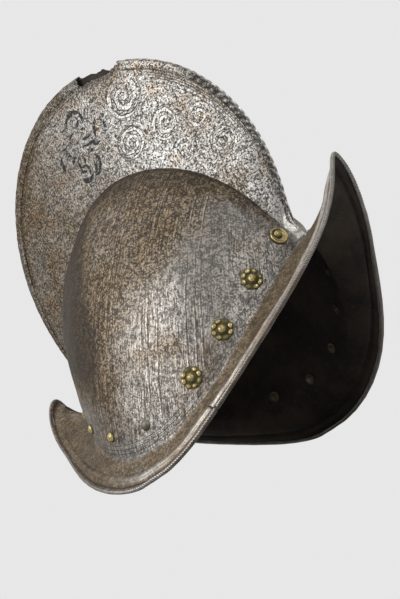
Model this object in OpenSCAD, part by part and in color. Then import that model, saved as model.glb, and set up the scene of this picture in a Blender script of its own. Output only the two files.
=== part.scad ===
// Comb morion: a boat-brimmed helmet with a tall comb, forged in two halves.
// +X is the wearer's front, +Y the wearer's left, +Z up. The helmet stands on
// the two worn flats under its brim, and the origin is under its middle.
// Heights below are measured from the skull's base at the sides, and the whole
// helmet is then lifted so that the flats lie in z = 0.

/* [Plate] */
// Thickness of the steel plate
plate = 1.1; // [0.9:0.1:1.4]
// Radius of the rolled edge of the brim
roll_r = 2.3; // [2.1:0.1:2.8]
// How far the brim's edge is rolled round, in degrees
roll_turn = 290; // [240:5:300]
// Play between the edge wire and the roll round it
wire_play = 0.05; // [0.02:0.01:0.2]

/* [Skull] */
// Outside width of the skull at its base
skull_w = 196; // [188:1:206]
// Reach of the skull's base in front of the head's centre
skull_front = 125; // [119:0.5:131]
// Reach of the skull's base behind the head's centre
skull_rear = 110; // [104:0.5:116]
// Rise of the base from its sides to its front
base_rise_front = 87.5; // [80:0.5:94]
// Rise of the base from its sides to its rear
base_rise_rear = 66; // [59:0.5:73]
// Steepness of the skull's arch where it meets the comb, in degrees
skull_arch = 56.5; // [46:0.5:68]

/* [Comb] */
// Height of the comb's crest over the base
comb_top = 294; // [272:0.5:310]
// Height at which the comb is longest
comb_belly = 159.5; // [150:0.5:170]
// Reach of the comb in front of the head's centre
comb_front = 131; // [127:0.5:140]
// Reach of the comb behind the head's centre
comb_rear = 126; // [122:0.5:134]
// Place of the crest's highest point along the helmet
comb_mid = -6.5; // [-14:0.5:4]
// Height of the oval that the comb's lower ends follow
comb_tuck = 149.5; // [142:0.5:158]
// Clear space between the two comb plates at the crest
comb_gap = 1.2; // [0.8:0.1:3]
// Height of the comb's root over the base
root_top = 202.5; // [192:0.5:212]
// Height of the root's ends over the base
root_spring = 82.5; // [78:0.5:88]
// Reach of the root in front of the head's centre
root_front = 116; // [112:0.5:118]
// Reach of the root behind the head's centre
root_rear = 113; // [109:0.5:115]
// Place of the root's highest point along the helmet
root_mid = 2.5; // [-6:0.5:10]
// Width of the comb at its root
root_w = 30; // [22:0.5:36]
// Height of the lap that is folded over the crest
lap_h = 6; // [4:0.5:9]
// Play between the lap and the plate under it
lap_play = 0.05; // [0.02:0.01:0.2]

/* [Brim] */
// How far the brim stands out past the skull at each side
brim_out = 17; // [11:0.5:24]
// How far the brim's lowest stretch lies below the base
brim_drop = 23; // [18:0.5:30]
// Place of the brim's lowest stretch along the helmet
brim_low_x = -5; // [-14:0.5:4]
// Length of the level stretch that the helmet stands on
brim_level = 20; // [14:1:40]
// Reach of the front peak's tip past the skull
peak_front = 53.5; // [46:0.5:64]
// Height of the front peak's tip over the base
peak_front_z = 126.5; // [116:0.5:136]
// How far the front peak's sides swell past its tip
hook_front = 23.5; // [20:0.5:30]
// Reach of the rear peak's tip past the skull
peak_rear = 42; // [38:0.5:54]
// Height of the rear peak's tip over the base
peak_rear_z = 96; // [86:0.5:105]
// How far the rear peak's sides swell past its tip
hook_rear = 27.5; // [20:0.5:30]
// Hollow of the brim between skull and edge, at the sides
bow_side = 3; // [1:0.5:5]
// Hollow of the brim between skull and edge, at the peaks
bow_peak = 14.5; // [10:0.5:20]
// Distance of the raised rib from the brim's edge
rib_in = 10.2; // [8:0.1:12]
// Height of the raised rib
rib_h = 1.5; // [0.8:0.1:2]
// Half the width of the raised rib
rib_half = 3; // [2:0.1:3.4]
// Depth worn off the roll where the helmet stands
wear = 0.5; // [0.2:0.05:0.8]

/* [Rivets] */
// Height of the rivets over the skull's base
rivet_rise = 16.5; // [14:0.5:22]
// Radius of a rivet's shank
shank_r = 1.6; // [1.2:0.1:2]
// Radius of a domed head on a rosette
head_r = 3.4; // [2.8:0.1:4]
// Height of a domed head on a rosette
head_h = 2.2; // [1.6:0.1:2.8]
// Radius of a bare domed head
bare_r = 4.2; // [3.4:0.1:5]
// Height of a bare domed head
bare_h = 2.8; // [2:0.1:3.4]
// Radius of a rosette over its petals
rosette_r = 8.3; // [7:0.1:9.5]
// Thickness of a rosette at its middle
rosette_h = 1.6; // [1.2:0.1:2.2]
// Number of petals
petals = 8; // [6:1:10]
// Radius of the plain dished washer at the front
dish_r = 6.5; // [5.5:0.1:8]
// Radius of the burr washer inside
burr_r = 4; // [3.4:0.1:5]
// Thickness of the burr washer
burr_h = 0.9; // [0.6:0.1:1.4]
// Play of a shank in its hole
shank_play = 0.1; // [0.05:0.05:0.2]
// Play between pieces stacked on a rivet
stack_play = 0.02; // [0.01:0.01:0.1]

/* [Hidden] */
// Places of the rivets round the base, in degrees from the front
RIVETS_RIGHT = [19.4, 36.6, 52.3, 67.9, 91.1, 111.3, 129.2, 144.9];
RIVETS_LEFT = [23, 38, 53, 69, 85.5, 104, 127, 145];
RIVETS = [0:len(RIVETS_RIGHT) - 1];
// The first rivet holds a dished washer, and the next three hold rosettes
DISHED = [0];
ROSETTED = [1, 2, 3];
IRON = [4];
SIDES = ["right", "left"];
// Outlines of the break in the crest: place along it, and depth into the comb
BREAK_RIGHT = [[67.2, -4], [67.6, 2.4], [69, 3.2], [70.9, 6.9], [72.4, 8.5], [74.5, 9.1],
    [78, 8.6], [81.2, 9], [83, 9.1], [82.2, 4.8], [81.6, 1], [81.6, -4]];
BREAK_LEFT = [[68.8, -4], [69.6, 2.5], [72.2, 4.9], [73.8, 3.4], [76.1, 3.3], [78.7, 1.4],
    [81, -4]];

STEEL = "#8c867c";
DARK_STEEL = "#6b655d";
BRASS = "#8f7a3a";

// Smooth shape numbers, without a length of their own
base_point = 2.47;     // how late the base draws in towards its ends
base_round = 0.79;     // how full the base's sides are
base_rise_pow = 2.06;  // how late the base rises towards its ends
root_round = 1.86;     // fullness of the root's arch
root_end = 0.35;       // share of the root's width that is left at its ends
edge_blunt = 0.29;           // bluntness of the brim's tips
edge_point = [3.1, 2.78];    // where the edge swings in towards the tips
edge_full = 2.86;            // fullness of the brim's outline
edge_rise = [1.67, 1.545];   // how early the edge rises towards the tips
edge_soft = 0.01;            // how softly the level stretch ends
hook_deg = 43;               // stretch of the edge that hooks back
bow_fade = 4;                // how early the hollow of the peaks fades towards the sides
nose_deg = 14;               // stretch in which the halves close to a keel
foot_front = 21.7;           // where the crest ends, in degrees below the belly
foot_rear = 30;
slope_step = 0.2;            // step that slopes are measured over, in degrees
inner_share = 0.2;           // least share of a point's distance from the middle kept inside
petal_swell = 1.12;          // how far neighbouring petals run into each other

// Small sizes of the fittings
peen_out = 0.9;      // how far a shank's hammered end stands out past the shank
peen_h = 0.8;
dish_h = 0.8;        // thickness of the dished washer
dish_rim = 1.2;      // width of its raised rim
hole_reach = 3 * plate;
wear_block = 20;
clear_of_all = 250;

// Stations along the helmet and points across it
n_len = 60;
n_comb = 3;
n_skull = 9;
n_roll = 8;
n_wire = 8;
BRIM_STEPS = [0.3, 0.6];
RIB_STEPS = [-1, -0.5, 0, 0.5, 1];
NOSE_STEPS = [45, 90, 135];
crowding = 0.6;

comb_y = comb_gap / 2 + plate;
lap_y = comb_y + lap_play + plate;
fold_r = (comb_y + lap_y) / 2;
fold_mid = (comb_y - lap_y) / 2;
wire_r = roll_r - plate - wire_play;

function unit(v) = v / norm(v);
function mix(a, b, s) = a + (b - a) * s;
function pick(t, pair) = cos(t) >= 0 ? pair[0] : pair[1];
function sign_pow(v, k) = v < 0 ? -pow(-v, k) : pow(v, k);
function flip_y(p) = [p.x, -p.y, p.z];
function flat_y(p) = [p.x, 0, p.z];

// Lines along the helmet, from the front (t = 0) to the rear (t = 180)
function nose(t) = pow(sin(90 * min(1, t / nose_deg, (180 - t) / nose_deg)), 2);

function base_pt(t) = let (c = cos(t), u = abs(c)) [
    c * pick(t, [skull_front, skull_rear]),
    skull_w / 2 * pow(max(0, 1 - pow(u, base_point)), base_round),
    pick(t, [base_rise_front, base_rise_rear]) * pow(u, base_rise_pow)
];

// The comb's root: an arch, drawn out at its ends to the middle of the keel
function root_pt(t) = let (
    k = 2 / root_round,
    reach = pick(t, [root_front - root_mid, root_rear + root_mid]),
    arch = [
        root_mid + sign_pow(cos(t), k) * reach,
        root_w / 2 * mix(root_end, 1, sin(t)),
        root_spring + (root_top - root_spring) * pow(max(0, sin(t)), k)
    ],
    end = pick(t, [0, 180]),
    keel = (crest_pt(end) + base_pt(end)) / 2
) mix(keel, arch, nose(t));

function crest_deg(t) = mix(-foot_front, 180 + foot_rear, t / 180);
function crest_axes(a) = [
    cos(a) >= 0 ? comb_front - comb_mid : comb_rear + comb_mid,
    sin(a) >= 0 ? comb_top - comb_belly : comb_tuck
];
// A point at a depth inside the crest, in the middle plane
function crest_pt(t, depth = 0) = let (
    a = crest_deg(t), r = crest_axes(a), out = unit([cos(a) / r[0], 0, sin(a) / r[1]])
) [comb_mid + cos(a) * r[0], 0, comb_belly + sin(a) * r[1]] - depth * out;

// The brim's outermost line
function edge_mid_reach(t) = pick(t, [
    skull_front + peak_front + hook_front - brim_low_x,
    skull_rear + peak_rear + hook_rear + brim_low_x
]);
function edge_lift(t) = let (
    level = brim_level / 2 / edge_mid_reach(t),
    d = max(0, abs(cos(t)) - level),
    full = 1 - level
) d * d / (d + edge_soft) * (full + edge_soft) / (full * full);
function edge_hook(t) = pow(cos(min(90, 90 * min(t, 180 - t) / hook_deg)), 2);
function edge_pt(t) = let (c = cos(t), b = edge_blunt) [
    brim_low_x + c * edge_mid_reach(t) - pick(t, [hook_front, -hook_rear]) * edge_hook(t),
    (skull_w / 2 + brim_out)
        * (b * sin(t) + (1 - b) * pow(max(0, 1 - pow(abs(c), pick(t, edge_point))), edge_full)),
    mix(-brim_drop, pick(t, [peak_front_z, peak_rear_z]), pow(edge_lift(t), pick(t, edge_rise)))
];
function edge_run(t) = t <= 0 ? [0, 1, 0] : t >= 180 ? [0, -1, 0]
    : unit(edge_pt(min(180, t + slope_step)) - edge_pt(max(0, t - slope_step)));

// Brim section: a hollow curve from the base to the roll
function brim_bend(t) = let (
    a = base_pt(t), b = edge_pt(t), up = unit(cross(b - a, edge_run(t)))
) (a + b) / 2 - mix(bow_side, bow_peak, pow(cos(t), bow_fade)) * up;
function roll_axes(t) = let (
    run = edge_run(t), d = edge_pt(t) - brim_bend(t), out = unit(d - (d * run) * run)
) [out, cross(out, run)];
function roll_mid(t) = edge_pt(t) - roll_r * roll_axes(t)[0];
function brim_len(t) = norm(edge_pt(t) - base_pt(t));
function brim_pt(t, s, h = 0) = let (
    a = base_pt(t), ax = roll_axes(t), b = roll_mid(t) + roll_r * ax[1], m = brim_bend(t)
) (1 - s) * (1 - s) * a + 2 * s * (1 - s) * m + s * s * b + h * ax[1];

// Skull section: an arch from the comb's root down to the base
function skull_pt(t, a) = let (
    b = base_pt(t), r = root_pt(t),
    out = (cos(a) - cos(skull_arch)) / (1 - cos(skull_arch)),
    up = sin(a) / sin(skull_arch)
) [mix(r.x, b.x, out), mix(r.y, b.y, out), mix(b.z, r.z, up)];

// Comb section: a flat plate from the crest down to the root
function comb_pt(t, s) = mix(crest_pt(t, fold_r) + [0, comb_y, 0], root_pt(t), s);
function lap_foot(t) = let (s = lap_h / norm(comb_pt(t, 1) - comb_pt(t, 0)))
    flip_y(comb_pt(t, s)) - [0, plate + lap_play, 0];

// Outside of one half at a station, from the crest to the roll's start
function fold_row(t) = concat(
    [lap_foot(t), crest_pt(t, fold_r) - [0, lap_y, 0]],
    [for (a = NOSE_STEPS)
        crest_pt(t, fold_r * (1 - sin(a))) + [0, fold_mid - fold_r * cos(a), 0]]
);
function sheet_row(t) = let (
    rib = 1 - rib_in / brim_len(t), w = rib_half / brim_len(t)
) concat(
    [for (i = [0:n_comb - 1]) comb_pt(t, i / n_comb)],
    [for (i = [0:n_skull - 1]) skull_pt(t, skull_arch * (1 - i / n_skull))],
    [base_pt(t)],
    [for (s = BRIM_STEPS) brim_pt(t, s * (rib - w))],
    [for (u = RIB_STEPS) brim_pt(t, rib + w * u, rib_h * (1 - u * u))],
    [brim_pt(t, 1)]
);
function roll_row(t, r) = let (ax = roll_axes(t)) [for (i = [1:n_roll])
    roll_mid(t) + r * (cos(roll_turn * i / n_roll) * ax[1] + sin(roll_turn * i / n_roll) * ax[0])];

STATIONS = [for (i = [0:n_len])
    mix(180 * i / n_len, 90 * (1 - cos(180 * i / n_len)), crowding)];
first_keel = n_comb;

// The halves meet in the middle plane along the keel and the brim's ridge
function closed_row(row, i, start) = (i > 0 && i < n_len) ? row
    : [for (j = [0:len(row) - 1]) j >= start ? flat_y(row[j]) : row[j]];

function outer_rows(folded) = [for (i = [0:n_len]) let (t = STATIONS[i])
    closed_row(
        folded ? concat(fold_row(t), sheet_row(t)) : sheet_row(t),
        i, first_keel + (folded ? len(NOSE_STEPS) + 2 : 0))];

// A point moved inwards by the plate's thickness, square to the sheet
function inner_pt(rows, i, j, lead) = let (
    p = rows[i][j],
    along = rows[min(n_len, i + 1)][j] - rows[max(0, i - 1)][j],
    down = rows[i][min(len(rows[i]) - 1, j + 1)] - rows[i][max(0, j - 1)],
    q = p - plate * unit(cross(down, along))
) j < lead ? q : (i == 0 || i == n_len) && j >= lead + first_keel ? flat_y(q)
    : [q.x, max(q.y, inner_share * p.y), q.z];

function ring(rows, i, lead) = let (t = STATIONS[i], n = len(rows[i])) concat(
    rows[i],
    roll_row(t, roll_r),
    [for (k = [n_roll - 1:-1:0]) roll_row(t, roll_r - plate)[k]],
    [roll_mid(t) + (roll_r - plate) * roll_axes(t)[1]],
    [for (j = [n - 2:-1:0]) inner_pt(rows, i, j, lead)]
);

// A tube through rings of points, closed by a strip or a fan at each end
module skin(rings, strip) {
    m = len(rings[0]);
    last = (len(rings) - 1) * m;
    side = [for (i = [0:len(rings) - 2]) for (k = [0:m - 1])
        let (a = i * m + k, b = i * m + (k + 1) % m)
        each [[a, b + m, b], [a, a + m, b + m]]];
    cap = strip
        ? [for (j = [0:m / 2 - 2]) each [[j, j + 1, m - 2 - j], [j, m - 2 - j, m - 1 - j]]]
        : [for (j = [1:m - 2]) [0, j, j + 1]];
    far_cap = [for (f = cap) [last + f[0], last + f[2], last + f[1]]];
    polyhedron([for (r = rings) each r], concat(side, cap, far_cap), convexity = 10);
}

module half_shell(folded) {
    rows = outer_rows(folded);
    lead = folded ? len(NOSE_STEPS) + 2 : 0;
    skin([for (i = [0:n_len]) ring(rows, i, lead)], true);
}

// Place of the whole helmet over the origin
ROLLED = [for (t = STATIONS) each roll_row(t, roll_r)];
ROLLED_X = [for (p = ROLLED) p.x];
ROLL_LOW = min([for (p = ROLLED) p.z]);
centre_x = (max(ROLLED_X) + min(ROLLED_X)) / 2;
lift = -ROLL_LOW - wear;
module placed() translate([-centre_x, 0, lift]) children();
module on_side(side) mirror([0, side == "right" ? 1 : 0, 0]) children();

// A rivet's place on the skull: its point and the direction out of the plate
function rivet_deg(side, i) = (side == "right" ? RIVETS_RIGHT : RIVETS_LEFT)[i];
function rivet_arch(t) = asin(rivet_rise * sin(skull_arch) / (root_pt(t).z - base_pt(t).z));
function rivet_seat(t) = skull_pt(t, rivet_arch(t));
function rivet_out(t) = let (a = rivet_arch(t), d = slope_step)
    unit(cross(skull_pt(t, a - d) - skull_pt(t, a + d), skull_pt(t + d, a) - skull_pt(t - d, a)));
module at_rivet(side, i) {
    t = rivet_deg(side, i);
    out = rivet_out(t);
    translate(rivet_seat(t))
        rotate([0, acos(out.z), atan2(out.y, out.x)])
            children();
}

module bore(reach) cylinder(r = shank_r + shank_play, h = 2 * reach, center = true, $fn = 32);
module rivet_holes(side) {
    for (i = RIVETS)
        at_rivet(side, i)
            bore(hole_reach);
}

// Ground away under the roll where the helmet has stood
module worn_ground() {
    translate([-clear_of_all, -clear_of_all, -lift - wear_block])
        cube([2 * clear_of_all, 2 * clear_of_all, wear_block]);
}

// A broken stretch of the crest, cut from one side of the comb only
module crest_break(outline, from, to) {
    translate([0, to, 0])
        rotate([90, 0, 0])
            linear_extrude(height = to - from)
                polygon([for (p = outline) let (q = crest_pt(p[0], p[1])) [q.x, q.z]]);
}

module right_half() color(STEEL) placed() on_side("right") difference() {
    half_shell(false);
    rivet_holes("right");
    worn_ground();
    crest_break(BREAK_RIGHT, 0, 2 * lap_y);
}

module left_half() color(STEEL) placed() difference() {
    half_shell(true);
    rivet_holes("left");
    worn_ground();
    crest_break(BREAK_RIGHT, -2 * lap_y, 0);
    crest_break(BREAK_LEFT, -lap_play, 2 * lap_y);
}

module edge_wire(side) color(DARK_STEEL) placed() on_side(side)
    skin([for (t = STATIONS) let (ax = roll_axes(t)) [for (k = [0:n_wire - 1])
        let (a = 360 * k / n_wire)
        roll_mid(t) + wire_r * (cos(a) * ax[1] + sin(a) * ax[0])]], false);

// A cap cut from a ball, standing on z = 0
module dome(r, h) {
    ball = (r * r + h * h) / (2 * h);
    intersection() {
        translate([0, 0, h - ball])
            sphere(r = ball, $fn = 96);
        cylinder(r = r, h = h, $fn = 64);
    }
}

// Height over the plate at which a rivet's head sits
function head_seat(i) = listed(i, DISHED) ? dish_h + 2 * stack_play
    : listed(i, ROSETTED) ? rosette_h + 2 * stack_play : stack_play;
function listed(i, list) = len(search(i, list)) > 0;
// Depth of the inside washer's face: the plate, and the hollow that it spans
function burr_depth(side, i) = plate + plate_dip(rivet_deg(side, i), burr_r) + stack_play;
function plate_dip(t, r) = let (
    a = rivet_arch(t), d = 2 * r / norm(skull_pt(t + 1, a) - skull_pt(t - 1, a)),
    mid = (skull_pt(t + d, a) + skull_pt(t - d, a)) / 2
) (rivet_seat(t) - mid) * rivet_out(t);

module rivet(side, i) color(listed(i, IRON) ? DARK_STEEL : BRASS)
    placed() on_side(side) at_rivet(side, i) {
        seat = head_seat(i);
        tail = burr_depth(side, i) + burr_h + stack_play;
        small = seat > stack_play;
        translate([0, 0, seat])
            dome(small ? head_r : bare_r, small ? head_h : bare_h);
        translate([0, 0, -tail - peen_h / 2])
            cylinder(r = shank_r, h = tail + peen_h / 2 + seat + head_h / 2, $fn = 48);
        translate([0, 0, -tail])
            mirror([0, 0, 1])
                dome(shank_r + peen_out, peen_h);
    }

// Pressed brass rosette: round petals about a flat seat for the head
module rosette(side, i) color(BRASS) placed() on_side(side) at_rivet(side, i) {
    step = sin(180 / petals);
    ball = petal_swell * rosette_r * step / (1 + step);
    sunk = ball / 4;
    ring_r = rosette_r - sqrt(ball * ball - sunk * sunk);
    translate([0, 0, stack_play])
        difference() {
            intersection() {
                union() {
                    cylinder(r = ring_r, h = rosette_h, $fn = 64);
                    for (k = [0:petals - 1])
                        rotate([0, 0, 360 * k / petals])
                            translate([ring_r, 0, -sunk])
                                sphere(r = ball, $fn = 48);
                }
                cylinder(r = 2 * rosette_r, h = 2 * rosette_h, $fn = 64);
            }
            bore(2 * rosette_h);
        }
}

// Plain washer with a raised rim, under the front rivets
module front_washer(side) color(BRASS) placed() on_side(side) at_rivet(side, DISHED[0])
    translate([0, 0, stack_play])
        rotate_extrude($fn = 64)
            polygon([
                [shank_r + shank_play, 0], [dish_r - dish_rim / 2, 0],
                [dish_r, dish_h / 2], [dish_r, 2 * dish_h], [dish_r - dish_rim / 2, 2.5 * dish_h],
                [dish_r - dish_rim, 2 * dish_h], [dish_r - 1.5 * dish_rim, dish_h],
                [shank_r + shank_play, dish_h]
            ]);

module burr(side, i) color(DARK_STEEL) placed() on_side(side) at_rivet(side, i)
    translate([0, 0, -burr_depth(side, i) - burr_h])
        difference() {
            cylinder(r = burr_r, h = burr_h, $fn = 48);
            bore(2 * burr_h);
        }

right_half();
left_half();
edge_wire("right");  // right_edge_wire
edge_wire("left");  // left_edge_wire
for (s = SIDES) {
    front_washer(s);
    for (i = ROSETTED)
        rosette(s, i);
    for (i = RIVETS) {
        rivet(s, i);
        burr(s, i);
    }
}
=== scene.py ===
import math
import bmesh
import bpy
import numpy as np
from mathutils import Matrix


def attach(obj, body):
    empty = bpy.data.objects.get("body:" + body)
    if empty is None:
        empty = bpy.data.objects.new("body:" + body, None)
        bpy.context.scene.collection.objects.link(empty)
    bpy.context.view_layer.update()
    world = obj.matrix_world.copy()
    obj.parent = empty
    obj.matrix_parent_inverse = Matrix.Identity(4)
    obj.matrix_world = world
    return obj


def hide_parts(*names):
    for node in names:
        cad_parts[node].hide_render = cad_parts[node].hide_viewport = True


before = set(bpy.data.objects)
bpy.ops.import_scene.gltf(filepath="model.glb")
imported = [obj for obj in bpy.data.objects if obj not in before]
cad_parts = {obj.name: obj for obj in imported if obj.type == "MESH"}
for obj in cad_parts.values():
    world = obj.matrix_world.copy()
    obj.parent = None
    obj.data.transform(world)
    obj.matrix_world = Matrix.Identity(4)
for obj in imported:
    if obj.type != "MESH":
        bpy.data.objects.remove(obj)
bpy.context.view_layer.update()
from types import SimpleNamespace

# Comb morion: the etched steel halves, the roped crest and edge, and the brass
# fittings. Lengths are millimetres in the frame that the helmet was forged in:
# +X front, +Y the wearer's left, heights from the skull's base at its sides.
# placed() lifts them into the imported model's frame, in metres.

MM = 0.001
SIDES = ["right", "left"]
RANDOM_SEED = 7

# Plate and edge
PLATE = 1.1
ROLL_R = 2.3
ROLL_TURN = 290
EDGE_WEAR = 0.5

# Skull
SKULL_W = 196
SKULL_REACH = [125, 110]
BASE_RISE = [87.5, 66]
SKULL_ARCH = 56.5
BASE_POINT = 2.47
BASE_ROUND = 0.79
BASE_RISE_POW = 2.06

# Comb
COMB_TOP = 294
COMB_BELLY = 159.5
COMB_FRONT = 131
COMB_REAR = 126
COMB_MID = -6.5
COMB_TUCK = 149.5
COMB_GAP = 1.2
FOOT_FRONT = 21.7
FOOT_REAR = 30
ROOT_TOP = 202.5
ROOT_SPRING = 82.5
ROOT_FRONT = 116
ROOT_REAR = 113
ROOT_MID = 2.5
ROOT_W = 30
ROOT_ROUND = 1.86
ROOT_END = 0.35
LAP_H = 6
LAP_PLAY = 0.05
LAP_FOOT = 0.4
LAP_FEATHER = 3.5
NOSE_DEG = 14

# Brim
BRIM_OUT = 17
BRIM_DROP = 23
BRIM_LOW_X = -5
BRIM_LEVEL = 20
PEAK_REACH = [53.5, 42]
PEAK_Z = [126.5, 96]
HOOK = [23.5, 27.5]
HOOK_DEG = 43
BOW_SIDE = 3
BOW_PEAK = 14.5
BOW_FADE = 4
RIB_IN = 11.4
RIB_H = 1.5
RIB_HALF = 3.2
RIB_ROUND = 0.5
RIB_FLAT = (112, 145)
RIB_LEFT = 0.3
ROPE_R = 1.8
EDGE_INSET = 1.0
GROOVE_DEPTH = 0.8
GROOVE_HALF = 1.0
EDGE_BLUNT = 0.29
EDGE_POINT = [3.1, 2.78]
EDGE_FULL = 2.86
EDGE_RISE = [1.67, 1.545]
EDGE_SOFT = 0.01
INNER_SHARE = 0.2

# Fittings
RIVET_RISE = 16.5
RIVET_DEG = {
    "right": [19.4, 36.6, 52.3, 67.9, 91.1, 111.3, 129.2, 144.9],
    "left": [23, 38, 53, 69, 85.5, 104, 127, 145],
}
DISHED = [0]
ROSETTED = [1, 2, 3]
IRON = [4]
SHANK_R = 1.6
HEAD = (3.4, 2.2)
BARE_HEAD = (4.2, 2.8)
# How far the front rivet's head was struck off its shank's middle
HEAD_OFF_MIDDLE = 1.7
ROSETTE_R = 8.3
ROSETTE_H = 1.6
PETALS = 8
PETAL_SWELL = 1.12
FLANGE_R = 7.9
FLANGE_H = 0.45
BEAD_RING = 6.15
BEAD_LONG = 1.8
BEAD_WIDE = 2.25
BEAD_H = 1.15
SEAT_R = 3.6
COLLAR_R = 4.15
COLLAR_H = 0.3
COLLAR_HALF = 0.3
RIM_ROUND = 0.8
SEAT_SLOPE = 0.5
DISH_R = 6.5
DISH_H = 0.8
# The washer's rolled edge: how far in from its rim, and how high
DISH_EDGE = [(0.6, 0), (0.1, 0.15), (0, 0.5), (0, 1.4), (0.15, 1.8), (0.5, 2), (0.9, 1.85),
             (1.25, 1.4), (1.6, 1.0), (2.2, 0.84), (3.2, DISH_H)]
BURR_R = 4
BURR_H = 0.9
PEEN_OUT = 0.9
PEEN_H = 0.8
SHANK_PLAY = 0.1
STACK_PLAY = 0.02
RIVET_WORN = 0.03
HEAD_UNEVEN = 0.025
FACET_DEPTH = 0.05

# The break in the crest: place along it in degrees, and depth into the comb
BREAK = {
    "right": ([67.2, 67.6, 69, 70.9, 72.4, 74.5, 78, 81.2, 82.6, 83.2],
              [0, 2.4, 3.2, 6.9, 8.5, 9.1, 8.6, 9, 6.5, 0]),
    "left": ([68.8, 69.6, 72.2, 73.8, 76.1, 78.7, 81],
             [0, 2.5, 4.9, 3.4, 3.3, 1.4, 0]),
}
BREAK_RAGGED = 0.35
BREAK_SEED = {"right": 11, "left": 12}
# Where the folded lap stops at each side of the break
LAP_STOPS = (67.4, 82.4)
NOSE_STOPS = (68.8, 81.2)

# Ornament: ropes, lines and the crack in the rib and the roll
ROPE_PITCH = 7.2
ROPE_DEPTH = 1.4
ROPE_SLANT = 1.2
ROPE_FROM = 4
ROPE_TO = 150
ROPE_FADE = 12
EDGE_ROPE_PITCH = 2.2
EDGE_ROPE_DEPTH = 0.6
EDGE_ROPE_SLANT = 0.9
CRACK_DEG = 70.1
CRACK_HALF = 0.7
CRACK_DEPTH = 1.5
CRACK_IN_RIB = 0.6
CRACK_WANDER = 0.5
# Dents: height, size and seed
DENTS = [(0.22, 34, 3), (0.1, 13, 4)]

# How finely the scene is cut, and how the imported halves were
SLOPE_STEP = 0.2
CROWDING = 0.6
CAD_STATIONS = 60
CAD_ROLL_STEPS = 8
N_STATIONS = 380
BREAK_STEP = 0.22
CRACK_STEPS = 17
COMB_ROWS = 24
SKULL_ROWS = 42
BRIM_ROWS = 14
RIB_ROWS = 13
GROOVE_ROWS = 7
CREASE_REACH = 6
CREASE_PASSES = 5
ROLL_COLUMNS = 18
ROLL_INNER_COLUMNS = 8
N_ROLL_STATIONS = 1500
CREST_STATIONS = 2001
FOLD_STEP = 0.9
NOSE_COLUMNS = 13
LAP_COLUMNS = 9
TURN_STEPS = 48
DOME_STEPS = 12
PEEN_STEPS = 6
ROSETTE_STEPS = 144
ROSETTE_RINGS = 30
WASHER_STEPS = 72
MERGE_DISTANCE = 2e-6
SLIVER_WIDTH = 1e-6

COMB_Y = COMB_GAP / 2 + PLATE
LAP_Y = COMB_Y + LAP_PLAY + PLATE
FOLD_R = (COMB_Y + LAP_Y) / 2
FOLD_MID = (COMB_Y - LAP_Y) / 2
RIB_MID = RIB_IN - ROLL_R
GROOVE_MID = (RIB_MID - RIB_HALF) / 2


def cosd(angle):
    return np.cos(np.radians(angle))


def sind(angle):
    return np.sin(np.radians(angle))


def unit(v):
    return v / np.linalg.norm(v, axis=-1, keepdims=True)


def mix(a, b, share):
    return a + (b - a) * share


def pick(t, pair):
    return np.where(cosd(t) >= 0, pair[0], pair[1])


def sign_pow(v, k):
    return np.sign(v) * np.abs(v) ** k


def xyz(x, y, z):
    return np.stack(np.broadcast_arrays(x, y, z), -1).astype(float)


def up_one(values):
    """Adds the axis along which x, y and z lie."""
    return np.asarray(values, float)[..., None]


def ease(low, high, v):
    """Smooth step from 0 at low to 1 at high; low may be the larger."""
    s = np.clip((v - low) / (high - low), 0, 1)
    return s * s * (3 - 2 * s)


# Lines along the helmet, from the front (t = 0) to the rear (t = 180)
def base_pt(t):
    c = cosd(t)
    u = np.abs(c)
    return xyz(
        c * pick(t, SKULL_REACH),
        SKULL_W / 2 * np.maximum(0, 1 - u ** BASE_POINT) ** BASE_ROUND,
        pick(t, BASE_RISE) * u ** BASE_RISE_POW)


def crest_pt(t, depth=0):
    a = mix(-FOOT_FRONT, 180 + FOOT_REAR, np.asarray(t, float) / 180)
    rx = np.where(cosd(a) >= 0, COMB_FRONT - COMB_MID, COMB_REAR + COMB_MID)
    rz = np.where(sind(a) >= 0, COMB_TOP - COMB_BELLY, COMB_TUCK)
    out = unit(xyz(cosd(a) / rx, 0, sind(a) / rz))
    return xyz(COMB_MID + cosd(a) * rx, 0, COMB_BELLY + sind(a) * rz) - up_one(depth) * out


def nose(t):
    share = np.minimum(np.minimum(1, t / NOSE_DEG), (180 - t) / NOSE_DEG)
    return sind(90 * share) ** 2


def root_pt(t):
    k = 2 / ROOT_ROUND
    reach = pick(t, [ROOT_FRONT - ROOT_MID, ROOT_REAR + ROOT_MID])
    side = np.maximum(0, sind(t))
    arch = xyz(
        ROOT_MID + sign_pow(cosd(t), k) * reach,
        ROOT_W / 2 * mix(ROOT_END, 1, side),
        ROOT_SPRING + (ROOT_TOP - ROOT_SPRING) * side ** k)
    end = pick(t, [0.0, 180.0])
    keel = (crest_pt(end) + base_pt(end)) / 2
    return mix(keel, arch, up_one(nose(t)))


def edge_lift(t):
    reach = edge_mid_reach(t)
    level = BRIM_LEVEL / 2 / reach
    d = np.maximum(0, np.abs(cosd(t)) - level)
    full = 1 - level
    return d * d / (d + EDGE_SOFT) * (full + EDGE_SOFT) / (full * full)


def edge_mid_reach(t):
    return pick(t, [
        SKULL_REACH[0] + PEAK_REACH[0] + HOOK[0] - BRIM_LOW_X,
        SKULL_REACH[1] + PEAK_REACH[1] + HOOK[1] + BRIM_LOW_X])


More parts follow.
